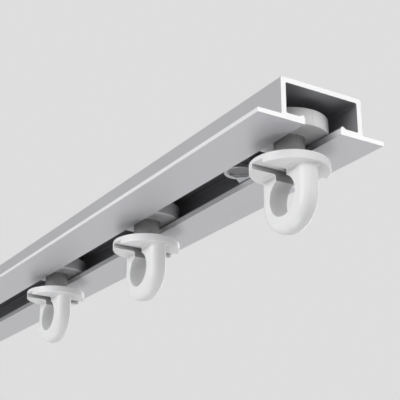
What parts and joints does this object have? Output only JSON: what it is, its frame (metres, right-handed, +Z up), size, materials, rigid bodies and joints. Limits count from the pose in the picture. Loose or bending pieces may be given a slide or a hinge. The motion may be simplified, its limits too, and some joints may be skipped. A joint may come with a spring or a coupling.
{
  "type": "curtain track",
  "caption": "Recessed aluminium curtain track with a slotted channel and side flanges, carrying white hook-eye gliders and a screw-clamped stop.",
  "frame": {"origin": "middle of the row of fixing holes, on the top face of the rail's web", "axes": "+X along the rail towards its open end, +Z up out of the web, y = 0 the middle of the slot"},
  "size_m": [0.26, 0.034, 0.0297],
  "materials": {
    "anodised_aluminium": "satin anodised, natural silver",
    "white_plastic": "smooth moulded white acetal",
    "zinc_plate": "zinc plated",
    "screw_steel": "plain steel, dull"
  },
  "bodies": {
    "rail": {"track_rail": "anodised_aluminium", "stop_bar": "zinc_plate", "stop_screw": "screw_steel"},
    "glider_1": {"glider_1": "white_plastic"},
    "glider_2": {"glider_2": "white_plastic"},
    "glider_3": {"glider_3": "white_plastic"}
  },
  "joints": [
    {"name": "glider_1_slide", "type": "slide", "parent": "rail", "child": "glider_1", "axis": [1, 0, 0], "range_m": [-0.0038, 0.003]},
    {"name": "glider_2_slide", "type": "slide", "parent": "rail", "child": "glider_2", "axis": [1, 0, 0], "range_m": [-0.0205, 0.03]},
    {"name": "glider_3_slide", "type": "slide", "parent": "rail", "child": "glider_3", "axis": [1, 0, 0], "range_m": [-0.113, 0.0205]}
  ]
}
